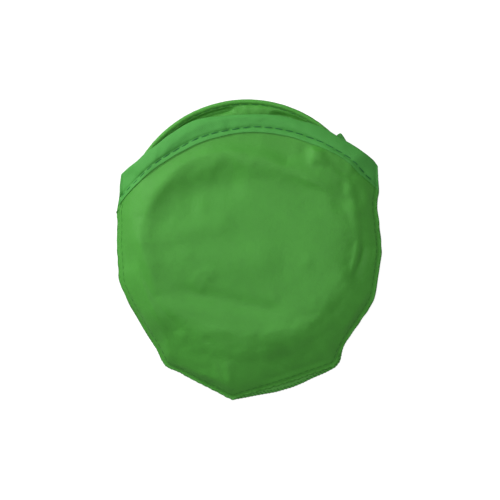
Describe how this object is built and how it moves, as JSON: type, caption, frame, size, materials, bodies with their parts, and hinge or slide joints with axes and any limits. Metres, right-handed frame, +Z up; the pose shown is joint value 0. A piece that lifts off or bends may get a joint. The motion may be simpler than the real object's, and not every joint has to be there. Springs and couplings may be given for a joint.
{
  "type": "pouched folding flying disc",
  "caption": "Cloth flying disc on a spring-steel hoop, twisted into stacked loops and stowed in a round flat fabric pouch with a hemmed mouth; it slides out of the mouth.",
  "frame": {"origin": "middle of the round pouch body, on the plane the pouch's back rests on", "axes": "+Z up out of the pouch's front, +Y out of the pouch's mouth, +X across the pouch to the right as seen from its front"},
  "size_m": [0.1005, 0.1131, 0.0151],
  "materials": {
    "pouch_cloth": "satin",
    "hem_tape": "matte",
    "disc_cloth": "satin",
    "rim_tape": "matte",
    "sewing_thread": "satin",
    "spring_wire": "satin",
    "ferrule_metal": "satin"
  },
  "bodies": {
    "pouch": {"pouch_front_panel": "pouch_cloth", "pouch_back_panel": "pouch_cloth", "side_seam_overlock_thread": "sewing_thread", "back_mouth_hem": "hem_tape", "back_hem_thread": "sewing_thread"},
    "front_lip": {"front_lip_panel": "pouch_cloth", "front_mouth_hem": "hem_tape", "front_hem_thread": "sewing_thread"},
    "rear_loop": {"rear_loop_hoop_wire": "spring_wire", "rear_loop_rim_sleeve": "rim_tape", "rear_loop_disc_cloth": "disc_cloth", "rear_loop_rim_thread": "sewing_thread", "wire_ferrule": "ferrule_metal"},
    "middle_loop": {"middle_loop_hoop_wire": "spring_wire", "middle_loop_rim_sleeve": "rim_tape", "middle_loop_disc_cloth": "disc_cloth", "middle_loop_rim_thread": "sewing_thread"},
    "front_loop": {"front_loop_hoop_wire": "spring_wire", "front_loop_rim_sleeve": "rim_tape", "front_loop_disc_cloth": "disc_cloth", "front_loop_rim_thread": "sewing_thread"}
  },
  "joints": [
    {"name": "disc_slide", "type": "slide", "parent": "pouch", "child": "rear_loop", "axis": [0, 1, 0], "range_m": [0, 0.1]},
    {"name": "front_lip_fold", "type": "hinge", "parent": "pouch", "child": "front_lip", "pos_m": [0, 0.024, 0.01385], "axis": [1, 0, 0], "range_deg": [0, 55]},
    {"name": "middle_loop_fan", "type": "hinge", "parent": "rear_loop", "child": "middle_loop", "pos_m": [-0.0004, -0.0393, 0.0057], "axis": [0, 0, 1], "range_deg": [-10, 0]},
    {"name": "front_loop_fan", "type": "hinge", "parent": "rear_loop", "child": "front_loop", "pos_m": [-0.0004, -0.0393, 0.0057], "axis": [0, 0, 1], "range_deg": [0, 10]}
  ],
  "couplings": [
    {"joint": "middle_loop_fan", "follows": "disc_slide", "rad_per_m": -1.745},
    {"joint": "front_loop_fan", "follows": "disc_slide", "rad_per_m": 1.745}
  ]
}
